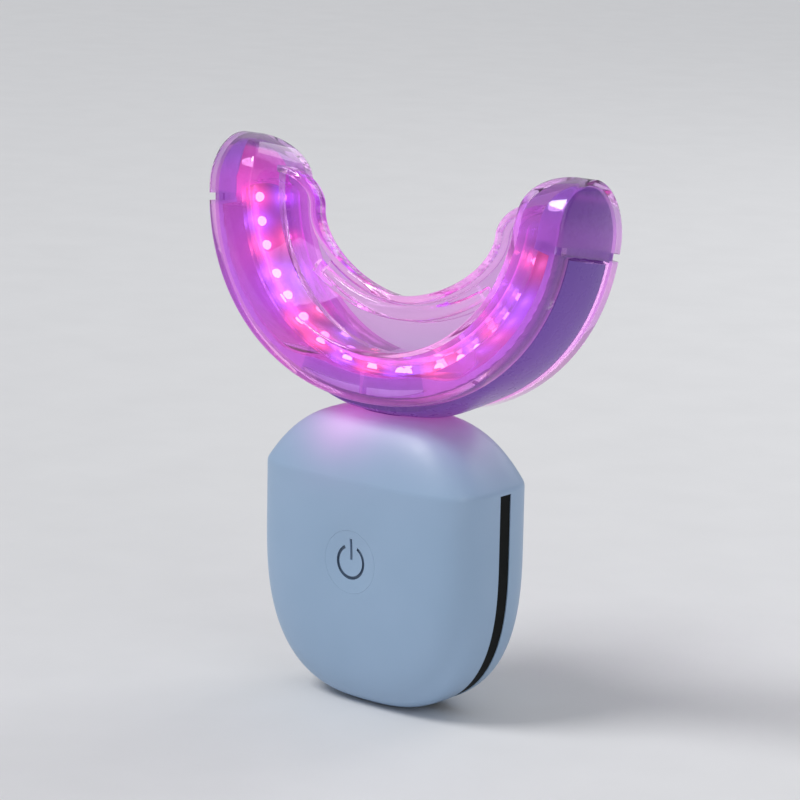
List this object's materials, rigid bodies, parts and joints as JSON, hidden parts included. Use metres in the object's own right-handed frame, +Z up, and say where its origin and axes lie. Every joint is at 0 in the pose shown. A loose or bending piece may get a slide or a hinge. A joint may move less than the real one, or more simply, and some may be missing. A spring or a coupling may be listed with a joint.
{
  "type": "light therapy oral care device",
  "caption": "Cordless oral light device: a horseshoe mouthpiece in clear silicone with red and blue lamps, on a flat rounded handle with a power button.",
  "frame": {"origin": "centre of the bounding box's footprint, at the level of the handle's foot", "axes": "+Z up from the handle to the mouthpiece, +Y from the button side to the back, +X to the right seen from the button side"},
  "size_m": [0.0704, 0.0214, 0.0866],
  "materials": {
    "soft_touch_white": "soft matte skin",
    "hard_white": "smooth white moulding",
    "case_black": "matte black moulding",
    "board_green": "solder mask",
    "cell_foil": "foil pouch",
    "chip_black": "moulded package",
    "cap_white": "natural plastic",
    "contact_gold": "plated",
    "magnet_nickel": "nickel plate",
    "seal_rubber": "moulded rubber",
    "clip_steel": "spring steel",
    "screw_steel": "zinc plated",
    "ribbon_amber": "flexible film",
    "strip_white": "white film",
    "window_clear": "clear plastic",
    "silicone_clear": "clear silicone",
    "lamp_red": "lit red lamp",
    "lamp_blue": "lit blue lamp"
  },
  "bodies": {
    "body": {"arch_housing": "hard_white", "battery": "cell_foil", "case_back": "case_black", "case_front": "case_black", "case_screw_1": "screw_steel", "case_screw_2": "screw_steel", "case_screw_3": "screw_steel", "case_screw_4": "screw_steel", "charge_contact_left": "contact_gold", "charge_contact_right": "contact_gold", "controller_chip": "chip_black", "dock_magnet_left": "magnet_nickel", "dock_magnet_right": "magnet_nickel", "driver_coil": "chip_black", "flex_ribbon": "ribbon_amber", "handle_skin": "soft_touch_white", "lamp_blue_far_left_1": "lamp_blue", "lamp_blue_far_left_3": "lamp_blue", "lamp_blue_far_left_5": "lamp_blue", "lamp_blue_far_left_7": "lamp_blue", "lamp_blue_far_right_2": "lamp_blue", "lamp_blue_far_right_4": "lamp_blue", "lamp_blue_far_right_6": "lamp_blue", "lamp_blue_near_left_2": "lamp_blue", "lamp_blue_near_left_5": "lamp_blue", "lamp_blue_near_left_6": "lamp_blue", "lamp_blue_near_left_8": "lamp_blue", "lamp_blue_near_right_1": "lamp_blue", "lamp_blue_near_right_4": "lamp_blue", "lamp_blue_near_right_6": "lamp_blue", "lamp_blue_near_right_7": "lamp_blue", "lamp_red_far_left_2": "lamp_red", "lamp_red_far_left_4": "lamp_red", "lamp_red_far_left_6": "lamp_red", "lamp_red_far_right_1": "lamp_red", "lamp_red_far_right_3": "lamp_red", "lamp_red_far_right_5": "lamp_red", "lamp_red_near_left_1": "lamp_red", "lamp_red_near_left_3": "lamp_red", "lamp_red_near_left_4": "lamp_red", "lamp_red_near_left_7": "lamp_red", "lamp_red_near_left_9": "lamp_red", "lamp_red_near_right_2": "lamp_red", "lamp_red_near_right_3": "lamp_red", "lamp_red_near_right_5": "lamp_red", "lamp_red_near_right_8": "lamp_red", "lamp_strip": "strip_white", "light_window": "window_clear", "main_board": "board_green", "ribbon_socket": "cap_white", "silicone_tray": "silicone_clear", "stem_clip": "clip_steel", "stem_seal": "seal_rubber", "strip_carrier_left": "window_clear", "strip_carrier_right": "window_clear", "switch_base": "chip_black", "switch_cap": "cap_white"},
    "button": {"power_button": "soft_touch_white"}
  },
  "joints": [
    {"name": "power_button_press", "type": "slide", "parent": "body", "child": "button", "axis": [0, 1, 0], "range_m": [0, 0.0004], "stiffness_N_per_m": 1500}
  ]
}
